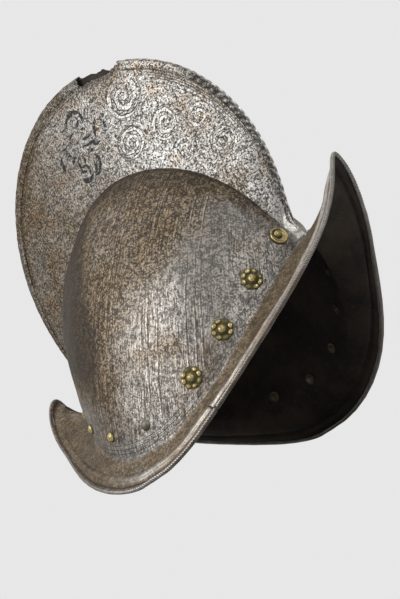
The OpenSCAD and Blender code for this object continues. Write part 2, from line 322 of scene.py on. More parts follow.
def edge_pt(t):
    c = cosd(t)
    hook = cosd(np.minimum(90, 90 * np.minimum(t, 180 - t) / HOOK_DEG)) ** 2
    swing = np.maximum(0, 1 - np.abs(c) ** pick(t, EDGE_POINT)) ** EDGE_FULL
    return xyz(
        BRIM_LOW_X + c * edge_mid_reach(t) - pick(t, [HOOK[0], -HOOK[1]]) * hook,
        (SKULL_W / 2 + BRIM_OUT) * (EDGE_BLUNT * sind(t) + (1 - EDGE_BLUNT) * swing),
        mix(-BRIM_DROP, pick(t, PEAK_Z), edge_lift(t) ** pick(t, EDGE_RISE)))


def edge_run(t):
    ahead = edge_pt(np.minimum(180, t + SLOPE_STEP))
    behind = edge_pt(np.maximum(0, t - SLOPE_STEP))
    run = unit(ahead - behind)
    run[t <= 0] = [0, 1, 0]
    run[t >= 180] = [0, -1, 0]
    return run


def brim_bend(t):
    a = base_pt(t)
    b = edge_pt(t)
    up = unit(np.cross(b - a, edge_run(t)))
    return (a + b) / 2 - up_one(mix(BOW_SIDE, BOW_PEAK, cosd(t) ** BOW_FADE)) * up


def roll_axes(t):
    run = edge_run(t)
    d = edge_pt(t) - brim_bend(t)
    out = unit(d - np.sum(d * run, -1, keepdims=True) * run)
    return out, np.cross(out, run)


def roll_pt(t, angle, radius):
    out, up = roll_axes(t)
    mid = edge_pt(t) - ROLL_R * out
    return mid + up_one(radius) * (up_one(cosd(angle)) * up + up_one(sind(angle)) * out)


def rope_pt(t, angle, radius):
    """A point on the roped roll, which is worn in a little along the helmet's side."""
    out = roll_axes(t)[0]
    worn_in = EDGE_INSET * ease(36, 50, t) * ease(94, 82, t)
    return roll_pt(t, angle, radius) - up_one(worn_in) * out


def brim_len(t):
    return np.linalg.norm(edge_pt(t) - base_pt(t), axis=-1)


def brim_pt(t, s, h=0):
    a = base_pt(t)
    up = roll_axes(t)[1]
    b = rope_pt(t, 0, ROPE_R)
    m = brim_bend(t)
    s = up_one(s)
    return (1 - s) ** 2 * a + 2 * s * (1 - s) * m + s * s * b + up_one(h) * up


def skull_pt(t, a):
    b = base_pt(t)
    r = root_pt(t)
    out = (cosd(a) - cosd(SKULL_ARCH)) / (1 - cosd(SKULL_ARCH))
    up = sind(a) / sind(SKULL_ARCH)
    return xyz(
        mix(r[..., 0], b[..., 0], out),
        mix(r[..., 1], b[..., 1], out),
        mix(b[..., 2], r[..., 2], up))


def comb_pt(t, s):
    top = crest_pt(t, FOLD_R) + [0, COMB_Y, 0]
    return mix(top, root_pt(t), up_one(s))


def comb_height(t):
    return np.linalg.norm(comb_pt(t, 1) - comb_pt(t, 0), axis=-1)


def stations(count):
    """Stations from the front tip to the rear one, crowded towards both."""
    steps = np.arange(count + 1) / count
    return mix(180 * steps, 90 * (1 - cosd(180 * steps)), CROWDING)


def packed_offset():
    """Where the helmet stands in the imported model, found from the same points as its halves have.
    """
    angle = ROLL_TURN * np.arange(1, CAD_ROLL_STEPS + 1)[None] / CAD_ROLL_STEPS
    rolled = roll_pt(stations(CAD_STATIONS)[:, None], angle, ROLL_R)
    middle = (rolled[..., 0].max() + rolled[..., 0].min()) / 2
    return np.array([-middle, 0, -rolled[..., 2].min() - EDGE_WEAR])


OFFSET = packed_offset()


def placed(points, side):
    """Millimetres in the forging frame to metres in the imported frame."""
    p = np.array(points, float)
    if side == "right":
        p[..., 1] *= -1
    p = p + OFFSET
    p[..., 2] = np.maximum(p[..., 2], 0)
    return p * MM


# Seeded smooth unevenness, as hammering leaves it
def waves(points, size, seed, count=28):
    rng = np.random.default_rng(RANDOM_SEED + seed)
    heading = unit(rng.normal(size=(count, 3)))
    pace = 2 * np.pi / size * rng.uniform(0.6, 1.6, count)
    start = rng.uniform(0, 2 * np.pi, count)
    turn = points @ (heading * pace[:, None]).T + start
    return np.sin(turn).sum(-1) / math.sqrt(count / 2)


# Mesh helpers
def ring_faces(n_rings, m, flip):
    """Quads between rings of m points, with the outside of the left half outwards."""
    i = np.arange(n_rings - 1)[:, None]
    k = np.arange(m)[None]
    a = i * m + k
    b = i * m + (k + 1) % m
    quads = np.stack([a, b, b + m, a + m], -1).reshape(-1, 4)
    return quads[:, ::-1] if flip else quads


def strip_caps(n_rings, m, flip):
    """Quads that close both ends of a sheet folded back on itself."""
    j = np.arange(m // 2 - 1)
    near = np.stack([j, m - 1 - j, m - 2 - j, j + 1], -1)
    far = near[:, ::-1] + (n_rings - 1) * m
    caps = np.concatenate([near, far])
    return caps[:, ::-1] if flip else caps


def even_floats(shape, **levels):
    return {key: np.full(shape, float(level)) for key, level in levels.items()}


def there_and_back(out, back):
    """A ring of points at each station, down the outside of a sheet and up its inside."""
    return np.concatenate([out, back[:, ::-1]], 1)


def both_ways(floats):
    return {key: there_and_back(v, v) for key, v in floats.items()}


def add_object(name, data):
    made = bpy.data.objects.new(name, data)
    bpy.context.scene.collection.objects.link(made)
    return made


def add_piece(name, points, faces, materials, nodes, floats, face_slots=None):
    """One mesh of the helmet, with a value at each point for each of its floats."""
    mesh = bpy.data.meshes.new(name)
    mesh.from_pydata(points.reshape(-1, 3).tolist(), [], [list(map(int, f)) for f in faces])
    for material in materials:
        mesh.materials.append(material)
    if face_slots is not None:
        mesh.polygons.foreach_set("material_index", np.asarray(face_slots, np.int32))
    for key, values in floats.items():
        layer = mesh.attributes.new(key, "FLOAT", "POINT")
        layer.data.foreach_set("value", np.asarray(values, np.float32).ravel())
    mesh.polygons.foreach_set("use_smooth", [True] * len(mesh.polygons))
    mesh.update()
    piece = add_object(name, mesh)
    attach(piece, "root")
    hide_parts(*nodes)
    return piece


def plate_stations():
    """Stations of a half's rows, closer together at the break and at the crack."""
    lows = [b[0][0] for b in BREAK.values()]
    highs = [b[0][-1] for b in BREAK.values()]
    close = np.arange(min(lows) - 1, max(highs) + 1, BREAK_STEP)
    marks = np.concatenate([b[0] for b in BREAK.values()])
    crack = CRACK_DEG + np.linspace(-1, 1, CRACK_STEPS)
    return np.unique(np.concatenate([stations(N_STATIONS), close, marks, crack]).round(4))


def break_depth(t, side):
    depth = np.interp(t, *BREAK[side], left=0, right=0)
    ragged = BREAK_RAGGED * waves(xyz(t * 3, 0, 0), 5, BREAK_SEED[side])
    return np.where(depth > 0, np.maximum(0, depth + ragged), 0)


def outer_sheet(t, side):
    """Rows of points from the crest down to the roll, and the rows' crease indexes."""
    t = t[:, None]
    clear = np.where(break_depth(t, side) > 0, FOLD_R, 0)
    start = np.maximum(0, break_depth(t, side) - clear) / comb_height(t)
    comb_s = start + (1 - start) * sind(90 * np.arange(COMB_ROWS)[None] / COMB_ROWS)
    skull_a = SKULL_ARCH * (1 + cosd(180 * np.arange(SKULL_ROWS)[None] / SKULL_ROWS)) / 2
    length = brim_len(t)
    rib = 1 - RIB_IN / length
    half = RIB_HALF / length
    brim_s = (rib - half) * (1 - cosd(90 * np.arange(BRIM_ROWS)[None] / BRIM_ROWS))
    rib_u = np.linspace(-1, 1, RIB_ROWS)[None]
    groove_u = np.arange(1, GROOVE_ROWS + 1)[None] / GROOVE_ROWS
    groove_s = mix(rib + half, 1, groove_u)
    parts = [
        comb_pt(t, comb_s),
        skull_pt(t, skull_a),
        brim_pt(t, brim_s),
        brim_pt(t, rib + half * rib_u, rib_profile(rib_u) * rib_left(t)),
        brim_pt(t, groove_s, -GROOVE_DEPTH * sind(180 * groove_u)),
    ]
    return np.concatenate(parts, 1), COMB_ROWS, COMB_ROWS + SKULL_ROWS


def rib_profile(u):
    """The bead of the rib: fuller than an arc, and no higher."""
    return RIB_H * (1 - u * u) ** RIB_ROUND


def rib_left(t):
    """How much of the rib's height is left: it is worn flat toward the rear."""
    return mix(1, RIB_LEFT, ease(*RIB_FLAT, t))


def ease_creases(rows, creases):
    """Rounds the two hollow creases as far as a hammered plate is rounded there."""
    for crease in creases:
        lo = crease - CREASE_REACH
        hi = crease + CREASE_REACH + 1
        for _ in range(CREASE_PASSES):
            middle = (rows[:, lo - 1:hi - 1] + 2 * rows[:, lo:hi] + rows[:, lo + 1:hi + 1]) / 4
            rows[:, lo:hi] = middle
    return rows


def sheet_normals(rows):
    along = np.gradient(rows, axis=0)
    down = np.gradient(rows, axis=1)
    return unit(np.cross(down, along))


def rivet_seats():
    return np.concatenate([rivet_place(side, i)[0][None]
                           for side in SIDES for i in range(len(RIVET_DEG[side]))])


def calm_near(points, spots, radius):
    """0 beside the rivets and 1 away from them, so that the fittings keep their seat."""
    calm = np.ones(points.shape[:-1])
    for spot in spots:
        gap = np.linalg.norm(points - spot, axis=-1)
        calm = np.minimum(calm, ease(radius * 0.7, radius * 1.4, gap))
    return calm


def running_length(points):
    """How far along a line each of its points lies."""
    steps = np.linalg.norm(np.diff(points, axis=0), axis=-1)
    return np.concatenate([[0], np.cumsum(steps)])


def crack_at(t, points):
    """Depth of the crack across the rib and the roll, at stations t."""
    run = np.linalg.norm(edge_pt(np.array([CRACK_DEG + 1])) - edge_pt(np.array([CRACK_DEG])))
    wander = CRACK_WANDER * waves(points, 9, 21)
    gap = (t - CRACK_DEG) * run + wander
    return np.exp(-(gap / CRACK_HALF) ** 2)


def row_lengths(rows):
    steps = np.linalg.norm(np.diff(rows, axis=1), axis=-1)
    return np.concatenate([np.zeros((len(rows), 1)), np.cumsum(steps, 1)], 1)


# Where brown places, and places worn bright and painted with a highlight, begin and are full:
# along the helmet in stations, and across it in millimetres from the base, the comb's root, the
# crest or the edge
CROWN_BROWN = (75, 135)
ROOT_BROWN = (-34, -6)
SKULL_REAR = (82, 116)
BASE_BARE = (14, 5)
COMB_BROWN = (78, 125)
CREST_BROWN = (13, 8)
BRIM_REAR = (84, 118)
STRIP_BROWN = (14, 20)
RUB_AND_HIGHLIGHT_STOPS = (114, 92)
KEEL_RUB_AND_HIGHLIGHT = (15, 9)
CREST_CROWN = (2.4, 1.2)
CREST_SHADE = (70, 100)


def tone_of(t, rise, root_gap, edge_gap, crest_gap):
    """How brown the steel is. 0 is grey, 1 is brown and 1.5 is nearly black."""
    crown = 0.9 * ease(*CROWN_BROWN, rise) + 0.6 * ease(*ROOT_BROWN, root_gap)
    rear = 1.6 * ease(*SKULL_REAR, t) * mix(0.25, 1.25, ease(25, 75, rise))
    skull = 0.12 + 0.88 * np.maximum(crown, rear) - 0.3 * ease(*BASE_BARE, rise)
    comb = 0.08 + 0.58 * ease(*COMB_BROWN, t) + 0.35 * ease(*CREST_BROWN, crest_gap)
    tone = np.where(root_gap > 0, comb, skull)
    brim = 0.95 + 0.12 * ease(*BRIM_REAR, t)
    brim = brim + 0.35 * ease(60, 20, t) * ease(*STRIP_BROWN, edge_gap)
    return np.where(rise < 0, mix(tone, brim, ease(-1, 5, -rise)), tone)


def rub_and_highlight_of(t, rise, edge_gap):
    """1 where the steel is worn bright by hands and shelves and painted with a highlight: the rib
    and the keel's front.
    """
    bead = np.exp(-((edge_gap - RIB_MID) / (0.95 * RIB_HALF)) ** 4)
    bead = bead * mix(0.1, 1, ease(*RUB_AND_HIGHLIGHT_STOPS, t))
    bead = bead * mix(0.85, 0.93, ease(75, 55, t)) * (rise < 0)
    keel = ease(*KEEL_RUB_AND_HIGHLIGHT, t) * ease(-2, 3, rise) * ease(42, 24, rise)
    return np.maximum(bead, keel)


def plate_floats(t, rows, root, base):
    length = row_lengths(rows)
    rise = length[:, base:base + 1] - length
    root_gap = length[:, root:root + 1] - length
    edge_gap = length[:, -1:] - length
    t = np.broadcast_to(t[:, None], rise.shape)
    return {
        "rise": rise,
        "root_gap": root_gap,
        "crest_gap": length,
        "edge_gap": edge_gap,
        "station": t,
        "tone": tone_of(t, rise, root_gap, edge_gap, length),
        "rub": rub_and_highlight_of(t, rise, edge_gap),
    }


def half_plate(side, outside, inside):
    t = plate_stations()
    rows, root, base = outer_sheet(t, side)
    rows = ease_creases(rows, (root, base))
    normal = sheet_normals(rows)
    floats = plate_floats(t, rows, root, base)
    dents = sum(height * waves(rows, size, seed) for height, size, seed in DENTS)
    dents *= calm_near(rows, rivet_seats(), ROSETTE_R)
    dents *= ease(0, 6, rows[..., 1])
    crack = 0 * rows[..., 0]
    if side == "right":
        crack = crack_at(t[:, None], rows) * ease(RIB_IN + 5, RIB_IN + 2, floats["edge_gap"])
    outer = rows + normal * up_one(dents - CRACK_DEPTH * CRACK_IN_RIB * crack)
    inner = rows - normal * PLATE + normal * up_one(dents)
    inner[..., 1] = np.maximum(inner[..., 1], INNER_SHARE * rows[..., 1])
    ring = there_and_back(outer, inner)
    n, m = ring.shape[:2]
    flip = side == "right"
    walls = ring_faces(n, m, flip)
    caps = strip_caps(n, m, flip)
    is_inner = np.tile((np.arange(m) >= m // 2) & (np.arange(m) < m - 1), n - 1)
    face_slots = np.concatenate([is_inner.astype(int), np.zeros(len(caps), int)])
    hollow = floats["edge_gap"] - GROOVE_MID
    # Painted shade: the groove between the rib and the roll, and the crack, are made nearly black.
    floats["gap"] = np.maximum(crack, 0.9 * np.exp(-(hollow / GROOVE_HALF) ** 2))
    add_piece(f"{side}_plate", placed(ring, side), np.concatenate([walls, caps]),
              [outside, inside], [f"{side}_half"], both_ways(floats), face_slots)


# A twisted cord's relief: round strands with a narrow groove between them
def strands(turns):
    share = turns - np.floor(turns)
    return 1 - sind(180 * share ** 1.35) ** 0.6


def even_stations(count):
    """Stations at even steps along the edge."""
    t = stations(4 * N_STATIONS)
    length = running_length(edge_pt(t))
    along = np.linspace(0, length[-1], count)
    return np.interp(along, length, t), along


def roll_relief(t, along, angle, side):
    """The roped roll's radius, its grooves between strands, and the painted shade in those grooves
    and in the crack.
    """
    across = np.radians(angle) * ROPE_R
    groove = strands((along[:, None] + EDGE_ROPE_SLANT * across) / EDGE_ROPE_PITCH)
    groove = groove * ease(0, 30, angle) * ease(ROLL_TURN, ROLL_TURN - 40, angle)
    rough = waves(rope_pt(t, angle, ROPE_R), 17, 5)
    worn = 0.7 + 0.3 * ease(-0.8, 1, waves(rope_pt(t, 0 * angle, ROPE_R), 45, 6))
    tip = ease(168, 178, t) * waves(rope_pt(t, 0 * angle, 0), 4, 8)
    radius = ROPE_R - EDGE_ROPE_DEPTH * groove * worn + 0.06 * rough - 0.25 * np.maximum(0, tip)
    crack = 0 * radius
    if side == "right":
        crack = crack_at(t, rope_pt(t, angle, ROPE_R))
        radius = radius - CRACK_DEPTH * crack * ease(0, 30, angle)
    # Painted shade in the grooves between strands and in the crack.
    return radius, groove, np.maximum(crack, 0.8 * groove * worn)


def edge_roll(side, outside):
    t, along = even_stations(N_ROLL_STATIONS)
    t = t[:, None]
    angle = np.linspace(0, ROLL_TURN, ROLL_COLUMNS)[None]
    radius, groove, gap = roll_relief(t, along, angle, side)
    inner_r = np.minimum(ROPE_R - PLATE / 2, radius[:, -1:] - 0.1)
    inner = rope_pt(t, np.linspace(ROLL_TURN, 0, ROLL_INNER_COLUMNS)[None], inner_r)
    ring = np.concatenate([rope_pt(t, angle, radius), inner], 1)
    ring[..., 1] = np.maximum(ring[..., 1], 0)
    n, m = ring.shape[:2]
    flip = side == "right"
    near = np.arange(m)
    far = near[::-1] + (n - 1) * m
    ends = [near, far] if flip else [near[::-1], far[::-1]]
    pad = np.zeros((n, m - ROLL_COLUMNS))
    # Painted light: the roll's strands are made bright all round, also on its shaded underside, and
    # less so in the grooves; the roll is also worn.
    rub = 0.93 * (1 - 0.8 * groove) * ease(0, 16, angle)
    # The roll lies below the base and out of reach of every drawn line
    floats = even_floats((n, m), rise=-40, root_gap=-200, crest_gap=300, edge_gap=-3)
    floats["station"] = np.broadcast_to(t, (n, m))
    floats["tone"] = 0.4 + 0.4 * ease(100, 130, floats["station"])
    floats["rub"] = np.concatenate([rub, pad], 1)
    floats["gap"] = np.concatenate([gap, pad], 1)
    add_piece(f"{side}_edge_roll", placed(ring, side), [*ring_faces(n, m, flip), *ends],
              [outside], [f"{side}_half"], floats)


# The crest: the left plate's edge, folded over the right plate and roped in front
def crest_length(t):
    fine = np.linspace(0, 180, CREST_STATIONS)
    return np.interp(t, fine, running_length(crest_pt(fine)))


def fold_section(t):
    """Points over the crest, from the lap's foot on the right to the left plate."""
    top = crest_pt(t, FOLD_R)
    foot = comb_pt(t, LAP_H / comb_height(t))
    foot[..., 1] = -foot[..., 1] - PLATE - LAP_PLAY
    lap_top = top - [0, LAP_Y, 0]
    lap = [mix(foot, lap_top, k / LAP_COLUMNS) for k in range(LAP_COLUMNS)]
    bend = []
    for a in np.linspace(0, 180, NOSE_COLUMNS):
        p = crest_pt(t, FOLD_R * (1 - sind(a)))
        p[..., 1] += FOLD_MID - FOLD_R * cosd(a)
        bend.append(p)
    return np.stack(lap + bend, 1)


def fold_stations(start, stops):
    """Stations of each column of the fold, from start to its ragged end at the break."""
    length = abs(crest_length(stops[1]) - crest_length(start))
    share = np.linspace(0, 1, int(length / FOLD_STEP))[:, None]
    columns = np.arange(LAP_COLUMNS + NOSE_COLUMNS)[None]
    toward = ease(0, 1, columns / (LAP_COLUMNS + NOSE_COLUMNS - 1))
    stop = mix(stops[0], stops[1], toward) + 0.25 * waves(xyz(columns, 0, start), 4, 9)
    if start > stops[1]:
        share = share[::-1]
    return mix(start, stop, share)


def crest_fold(name, start, stops, outside):
    """One stretch of the folded crest. stops are its far ends at the lap and at the nose."""
    t = fold_stations(start, stops)
    rows = np.stack([fold_section(t[:, k])[:, k] for k in range(t.shape[1])], 1)
    along = crest_length(t)
    steps = row_lengths(rows)
    length = steps[:, -1:]
    from_top = steps[:, LAP_COLUMNS + NOSE_COLUMNS // 2][:, None] - steps
    off_top = np.abs(from_top)
    twist = strands((along - ROPE_SLANT * from_top) / ROPE_PITCH)
    fade = ease(ROPE_FROM - 4, ROPE_FROM + 4, along)
    fade = fade * ease(ROPE_TO, ROPE_TO - ROPE_FADE, along)
    fade = fade * ease(length + 0.01, length - 2, steps)
    relief = ROPE_DEPTH * twist * fade * (0.35 + 0.65 * ease(0, 3, steps))
    crown = ease(*CREST_CROWN, off_top)
    shade = mix(0.22, 0.62, ease(*CREST_SHADE, t))
    flank = ease(1.2, 2.2, off_top) * ease(5.2, 3.4, off_top)
    rough = 0.1 * waves(rows, 7, 10) * ease(length, length - 3, steps)
    normal = sheet_normals(rows)
    thinned = (PLATE - LAP_FOOT) * ease(LAP_FEATHER, 0, steps)
    ring = there_and_back(rows + normal * up_one(rough - relief - thinned), rows - normal * PLATE)
    n, m = ring.shape[:2]
    faces = np.concatenate([ring_faces(n, m, False), strip_caps(n, m, False)])
    floats = even_floats(steps.shape, rise=250, root_gap=100, edge_gap=200)
    floats["crest_gap"] = off_top
    floats["station"] = t
    floats["tone"] = 0.25 + 0.45 * ease(70, 110, t) + 0.2 * np.exp(-(along / 20) ** 2)
    # Painted highlight along the crest's top, where the rope is also worn bright.
    floats["rub"] = crown * (1 - 0.25 * twist) * fade
    # Painted shade in the rope's grooves and on its flank, which turns away from the light.
    floats["gap"] = np.maximum(0.95 * twist ** 0.5 * mix(1, 0.25, crown), shade * flank) * fade
    add_piece(name, placed(ring, "left"), faces, [outside], ["left_half"],
              both_ways(floats))


# Rivets, rosettes and washers, turned about their own axis and then placed
def rivet_place(side, i):
    t = np.array([RIVET_DEG[side][i]], float)
    rise = root_pt(t)[0, 2] - base_pt(t)[0, 2]
    a = np.degrees(np.arcsin(RIVET_RISE * sind(SKULL_ARCH) / rise))
    d = SLOPE_STEP
    down = skull_pt(t, a - d) - skull_pt(t, a + d)
    along = skull_pt(t + d, a) - skull_pt(t - d, a)
    out = unit(np.cross(down, along))[0]
    seat = skull_pt(t, a)[0]
    span = 2 * BURR_R / np.linalg.norm(skull_pt(t + 1, a) - skull_pt(t - 1, a))
    middle = (skull_pt(t + span, a) + skull_pt(t - span, a))[0] / 2
    dip = float((seat - middle) @ out)
    return seat, out, dip


def turn_angles(count):
    return 2 * np.pi * np.arange(count)[:, None] / count


def turned_to(out):
    tilt = math.acos(out[2])
    swing = math.atan2(out[1], out[0])
    return np.array(Matrix.Rotation(swing, 3, "Z") @ Matrix.Rotation(tilt, 3, "Y"))


def turned_piece(kind, side, i, radii, heights, material, high, shift=(0, 0)):
    """A closed form from radii and heights at each angle, standing on the plate.
    high is 1 where the brass is worn bright and painted with a highlight, and shift moves its rings
    across the plate."""
    seat, out, _ = rivet_place(side, i)
    n, m = radii.shape
    angle = turn_angles(n)
    local = np.stack([radii * np.cos(angle) + shift[0], radii * np.sin(angle) + shift[1],
                      np.broadcast_to(heights, radii.shape)], -1)
    points = local @ turned_to(out).T + seat
    a = np.arange(n)[:, None] * m + np.arange(m)[None]
    b = np.roll(a, -1, 0)
    quads = np.stack([a, np.roll(a, -1, 1), np.roll(b, -1, 1), b], -1).reshape(-1, 4)
    if side == "right":
        quads = quads[:, ::-1]
    floats = {"high": np.broadcast_to(high, radii.shape)}
    number = "" if kind == "front_washer" else f"_{i + 1}"
    piece = add_piece(f"{side}_{kind}{number}", placed(points, side), quads, [material],
                      [f"{kind}_{side}{number}"], floats)
    bm = bmesh.new()
    bm.from_mesh(piece.data)
    bmesh.ops.remove_doubles(bm, verts=bm.verts, dist=MERGE_DISTANCE)
    bmesh.ops.dissolve_degenerate(bm, edges=bm.edges, dist=SLIVER_WIDTH)
    bmesh.ops.recalc_face_normals(bm, faces=bm.faces)
    bm.to_mesh(piece.data)
    bm.free()


def dome_profile(r, h, count):
    ball = (r * r + h * h) / (2 * h)
    radius = r * np.sin(np.linspace(0, np.pi / 2, count))
    return radius, h - ball + np.sqrt(ball * ball - radius * radius)


def rivet(side, i, material):
    small = i in DISHED + ROSETTED
    seat = DISH_H if i in DISHED else ROSETTE_H if i in ROSETTED else 0
    seat += STACK_PLAY * (2 if small else 1)
    r, h = HEAD if small else BARE_HEAD
    dip = rivet_place(side, i)[2]
    tail = PLATE + dip + BURR_H + 2 * STACK_PLAY
    head_x, head_z = dome_profile(r, h, DOME_STEPS)
    end_x, end_z = dome_profile(SHANK_R + PEEN_OUT, PEEN_H, PEEN_STEPS)
    radius = np.concatenate([head_x, [r, SHANK_R, SHANK_R], end_x[::-1]])
    height = np.concatenate([head_z + seat, [seat, seat, -tail], -tail - end_z[::-1]])
    angle = turn_angles(TURN_STEPS)
    rng = np.random.default_rng(RANDOM_SEED + 40 + i + (10 if side == "left" else 0))
    lobes = sum(rng.uniform(-HEAD_UNEVEN, HEAD_UNEVEN) * np.cos(k * angle + rng.uniform(0, 7))
                for k in (1, 2, 3, 5))
    on_head = (np.arange(len(radius)) <= DOME_STEPS)[None]
    radii = radius[None] * (1 - RIVET_WORN + np.where(on_head, lobes, 0))
    facets = waves(xyz(radius * np.cos(angle), radius * np.sin(angle), i), 2.4, 50 + i) - 1
    cut = on_head & (radius[None] < r * 0.97)
    heights = height[None] + np.where(cut, FACET_DEPTH * facets, 0)
    # Painted highlight on the dome's top, where the brass is also worn bright.
    high = np.where(on_head, ease(r, 0.75 * r, radius[None]), 0) * (0.72 if small else 1)
    shift = (-HEAD_OFF_MIDDLE * on_head, 0) if i in DISHED else (0, 0)
    turned_piece("rivet", side, i, radii, heights, material, high, shift)


def rosette(side, i, material):
    """A pressed disc with a bead on each petal, a collar, and a raised seat for the head."""
    step = sind(180 / PETALS)
    ball = PETAL_SWELL * ROSETTE_R * step / (1 + step)
    foot = math.sqrt(ball * ball - (ball / 4) ** 2)
    ring_r = ROSETTE_R - foot
    angle = turn_angles(ROSETTE_STEPS)
    near = (angle * PETALS / (2 * np.pi) + 0.5) % 1 - 0.5
    off = near * 2 * np.pi / PETALS
    petal_r = ring_r * np.cos(off) + np.sqrt(foot * foot - (ring_r * np.sin(off)) ** 2)
    outline = np.maximum(petal_r, FLANGE_R)
    bore = SHANK_R + SHANK_PLAY
    r = bore + (outline - bore) * np.linspace(0, 1, ROSETTE_RINGS)[None] ** 0.9
    along = (r * np.cos(off) - BEAD_RING) / BEAD_LONG
    across = r * np.sin(off) / BEAD_WIDE
    worn = 0.9 + 0.22 * np.cos(2 * angle + i) + 0.16 * np.cos(3 * angle + 2 * i)
    bead = BEAD_H * worn * np.sqrt(np.maximum(0, 1 - along ** 2 - across ** 2))
    rim = np.sqrt(np.maximum(0, 1 - ease(outline - RIM_ROUND, outline, r) ** 2))
    collar = COLLAR_H * np.exp(-((r - COLLAR_R) / COLLAR_HALF) ** 2)
    seat = (ROSETTE_H - FLANGE_H) * ease(SEAT_R + SEAT_SLOPE, SEAT_R, r)
    top = FLANGE_H * np.maximum(rim, 0.2) + np.maximum(bead, collar) + seat
    heights = np.concatenate([0 * top[:, :1], top, 0 * top[:, -1:]], 1) + STACK_PLAY
    radii = np.concatenate([r[:, :1], r, r[:, -1:]], 1)
    # Painted highlight on the tops of the beads and the collar, where they are also worn bright.
    high = np.concatenate([0 * bead[:, :1], bead * worn / BEAD_H + collar, 0 * bead[:, -1:]], 1)
    turned_piece("rosette", side, i, radii, heights, material, high)


def front_washer(side, material):
    bore = SHANK_R + SHANK_PLAY
    rolled = [(DISH_R - inward, height) for inward, height in DISH_EDGE]
    profile = np.array([(bore, 0), *rolled, (bore, DISH_H)])
    angle = turn_angles(WASHER_STEPS)
    uneven = 1 + 0.012 * np.cos(2 * angle + 1) + 0.008 * np.cos(5 * angle)
    radii = profile[None, :, 0] * uneven
    heights = profile[None, :, 1] * (1 + 0.06 * np.cos(3 * angle + 2)) + STACK_PLAY
    # The rolled edge is drawn brighter than the rest, as worn bright brass with a painted highlight.
    high = ease(1, 1.9, profile[None, :, 1]) * 0.4 + 0.62
    turned_piece("front_washer", side, 0, radii, heights, material, high)


# Materials are node graphs over the object's own coordinates and the meshes' floats
class Value:
    """A node's output. Sums, differences and products of numbers are nodes too."""

    def __init__(self, graph, socket):
        self.graph = graph
        self.socket = socket

    def __add__(self, other):
        return self.graph.math("ADD", self, other)

    def __sub__(self, other):
        return self.graph.math("SUBTRACT", self, other)

    def __rsub__(self, other):
        return self.graph.math("SUBTRACT", other, self)

    def __mul__(self, other):
        return self.graph.math("MULTIPLY", self, other)

    def __abs__(self):
        return self.graph.math("ABSOLUTE", self)

    __radd__ = __add__
    __rmul__ = __mul__


class Graph:
    """The node graph of a material or of the world."""

    def __init__(self, owner):
        owner.use_nodes = True
        self.owner = owner
        self.tree = owner.node_tree
        self.tree.nodes.clear()
        self.place = self.output("Object", "ShaderNodeTexCoord")

    def node(self, kind, inputs=None, **settings):
        made = self.tree.nodes.new(kind)
        for key, value in settings.items():
            setattr(made, key, value)
        for key, value in (inputs or {}).items():
            self.give(made.inputs[key], value)
        return made

    def give(self, socket, value):
        if isinstance(value, Value):
            self.tree.links.new(value.socket, socket)
        elif socket.type == "RGBA":
            socket.default_value = (*value, 1)
        else:
            socket.default_value = value

    def output(self, name, kind, inputs=None, **settings):
        return Value(self, self.node(kind, inputs, **settings).outputs[name])

    def math(self, operation, a, b=0.0, clamp=False):
        return self.output(0, "ShaderNodeMath", {0: a, 1: b}, operation=operation,
                           use_clamp=clamp)

    def vector(self, operation, a, b):
        return self.output(0, "ShaderNodeVectorMath", {0: a, 1: b}, operation=operation)

    def scaled(self, vector, by):
        inputs = {0: vector, "Scale": by}
        return self.output(0, "ShaderNodeVectorMath", inputs, operation="SCALE")

    def span(self, vector):
        return self.output("Value", "ShaderNodeVectorMath", {0: vector}, operation="LENGTH")

    def apart(self, vector):
        """A vector's x, y and z."""
        made = self.node("ShaderNodeSeparateXYZ", {0: vector})
        return [Value(self, part) for part in made.outputs]

    def together(self, x, y):
        return self.output(0, "ShaderNodeCombineXYZ", {0: x, 1: y})

    def bearing(self, vector):
        """The direction of a flat vector, in radians from x."""
        x, y, _ = self.apart(vector)
        return self.math("ARCTAN2", y, x)

    def most(self, *values):
        made = values[0]
        for value in values[1:]:
            made = self.math("MAXIMUM", made, value)
        return made

    def least(self, values):
        """The least of values, taken one by one as they are made, so few are held at once."""
        made = None
        for value in values:
            made = value if made is None else self.math("MINIMUM", made, value)
        return made

    def step(self, value, low, high, to_low=0.0, to_high=1.0):
        """Smooth step from to_low at low to to_high at high; low may be the larger."""
        if low > high:
            low, high, to_low, to_high = high, low, to_high, to_low
        return self.output("Result", "ShaderNodeMapRange", {
            "Value": value, "From Min": low, "From Max": high,
            "To Min": to_low, "To Max": to_high}, interpolation_type="SMOOTHSTEP")

    def between(self, kind, share, a, b):
        """A mix node. The sockets of its kinds share their names, but not identifiers."""
        made = self.node("ShaderNodeMix", data_type="RGBA" if kind == "Color" else "FLOAT")
        given = {"Factor_Float": share, f"A_{kind}": a, f"B_{kind}": b}
        for socket in made.inputs:
            if socket.identifier in given:
                self.give(socket, given[socket.identifier])
        found = next(s for s in made.outputs if s.identifier == f"Result_{kind}")
        return Value(self, found)

    def mixed(self, share, a, b):
        return self.between("Color", share, a, b)

    def shared(self, share, a, b):
        return self.between("Float", share, a, b)

    def value_of(self, name):
        return self.output("Fac", "ShaderNodeAttribute", attribute_name=name)

    def noise(self, per_metre, detail=2.0, rough=0.5, place=None, warp=0.0):
        return self.output("Fac", "ShaderNodeTexNoise", {
            "Vector": place or self.place, "Scale": per_metre, "Detail": detail,
            "Roughness": rough, "Distortion": warp})

    def lines(self, value, marks, half):
        """1 on each mark along value, within half."""
        return self.step(self.least(abs(value - mark) for mark in marks), half, half * 0.35)

    def finish(self, colour, metallic, roughness, height_mm, bump=1.0, sheen=0.5):
        normal = self.output("Normal", "ShaderNodeBump", {
            "Height": height_mm, "Strength": bump, "Distance": MM})
        shader = self.output("BSDF", "ShaderNodeBsdfPrincipled", {
            "Base Color": colour, "Metallic": metallic, "Roughness": roughness,
            "Specular IOR Level": sheen, "Normal": normal})
        self.node("ShaderNodeOutputMaterial", {"Surface": shader})
        return self.owner


def material_graph(name):
    return Graph(bpy.data.materials.new(name))


